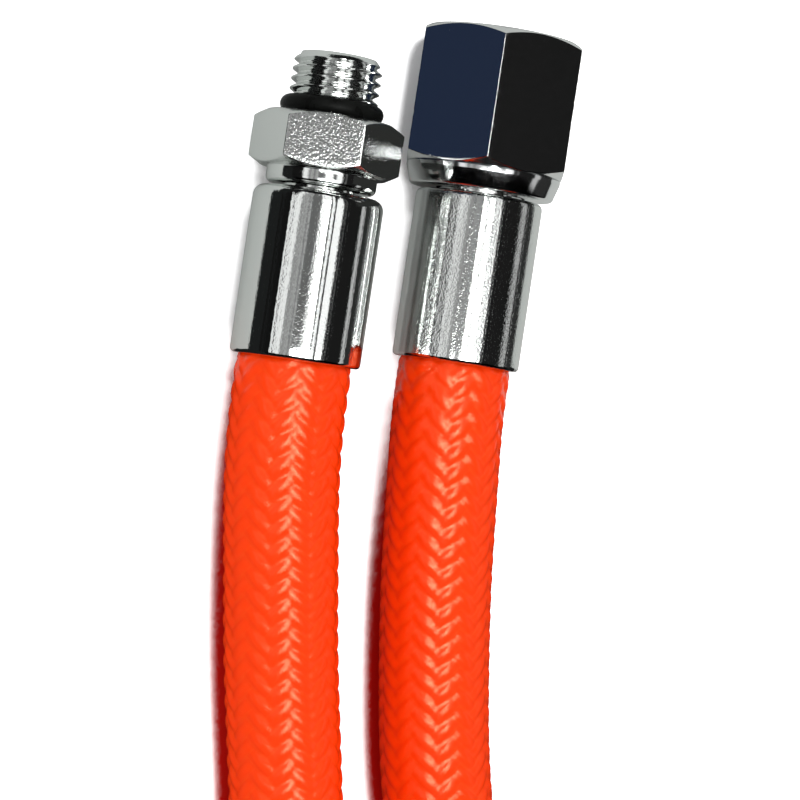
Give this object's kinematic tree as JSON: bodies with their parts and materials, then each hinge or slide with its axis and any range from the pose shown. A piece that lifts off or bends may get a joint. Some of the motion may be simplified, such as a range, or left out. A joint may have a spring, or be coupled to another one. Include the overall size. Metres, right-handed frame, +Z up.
{
  "type": "braided regulator hose",
  "caption": "Flexible orange braided low-pressure hose with a fixed male threaded end and a hexagonal swivel-nut end, laid in an open loop.",
  "frame": {"origin": "bottom centre of the two metal end fittings together, on the surface they lie on", "axes": "+Y along both fittings towards their free ends, +Z up, +X from the male end to the swivel-nut end"},
  "size_m": [0.1268, 0.2396, 0.017],
  "materials": {
    "chrome_plate": "polished, slightly orange-peeled chrome plate over brass",
    "seal_rubber": "greased black O-ring",
    "orange_braid": "glossy orange-red synthetic braid over a rubber hose"
  },
  "bodies": {
    "hose_assembly": {"male_end_fitting": "chrome_plate", "male_o_ring": "seal_rubber", "male_ferrule": "chrome_plate", "hose": "orange_braid", "female_stem": "chrome_plate", "female_stem_o_ring": "seal_rubber", "female_ferrule": "chrome_plate"},
    "nut": {"swivel_nut": "chrome_plate"}
  },
  "joints": [
    {"name": "nut_swivel", "type": "hinge", "parent": "hose_assembly", "child": "nut", "pos_m": [0.00829, 0.0045, 0.0085], "axis": [0, 1, 0], "continuous": true}
  ]
}
